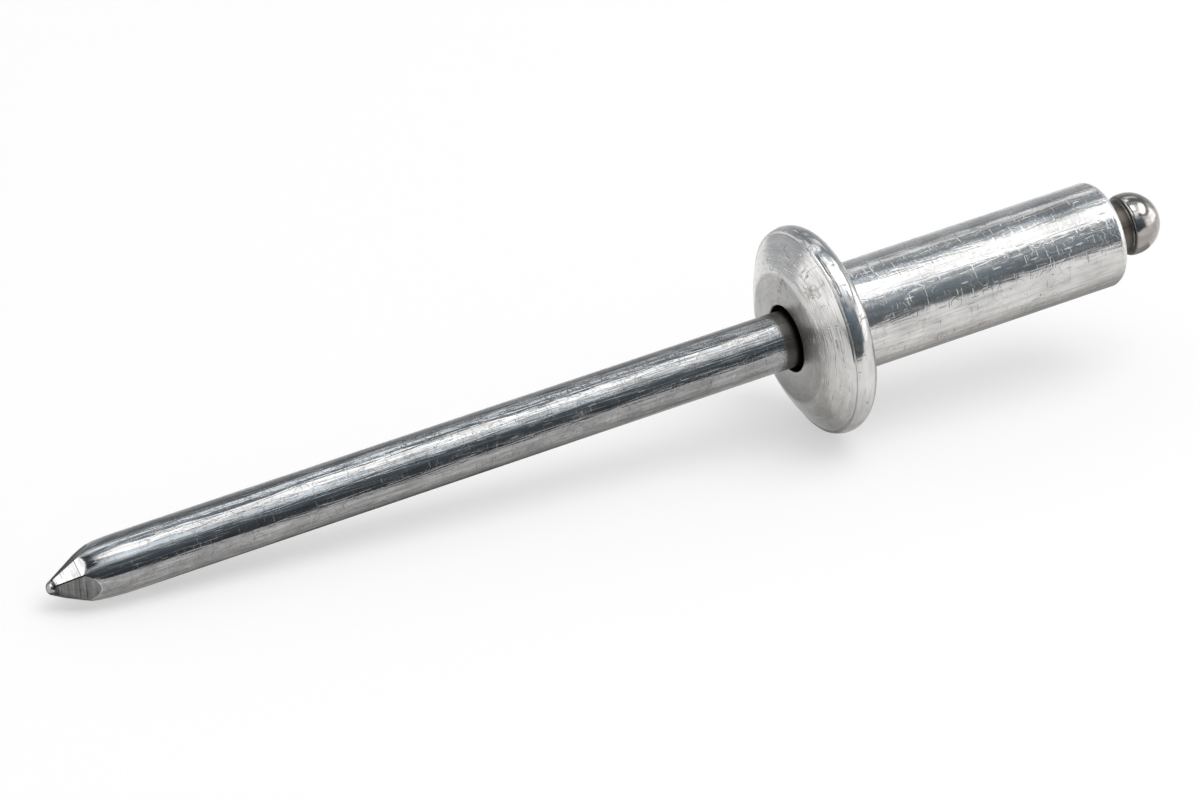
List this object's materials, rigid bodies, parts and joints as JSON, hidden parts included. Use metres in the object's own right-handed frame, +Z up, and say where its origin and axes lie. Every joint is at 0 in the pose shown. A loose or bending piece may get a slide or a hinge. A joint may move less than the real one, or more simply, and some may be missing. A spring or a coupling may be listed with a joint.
{
  "type": "blind rivet",
  "caption": "Open-end blind rivet, unset: hollow shank with a domed flanged head on a headed mandrel whose pinch-cut point a setting tool grips and pulls.",
  "frame": {"origin": "on the floor under the middle of the rivet's bounding box, as it lies at rest on the rim of its head and the shoulder of its point", "axes": "+Z up; the rivet's axis lies in the XZ plane and rises 5.81 degrees above +X towards the tail end, with the mandrel's point at -X"},
  "size_m": [0.0534, 0.0094, 0.0094],
  "materials": {
    "body_aluminium": "bright bare aluminium, fine handling scratches along the shank and turned marks on the face of the head",
    "mandrel_steel": "bright drawn steel wire, fine lines along its length, cross lines on the pinched facets"
  },
  "bodies": {
    "root": {"rivet_body": "body_aluminium", "mandrel": "mandrel_steel"}
  },
  "joints": []
}
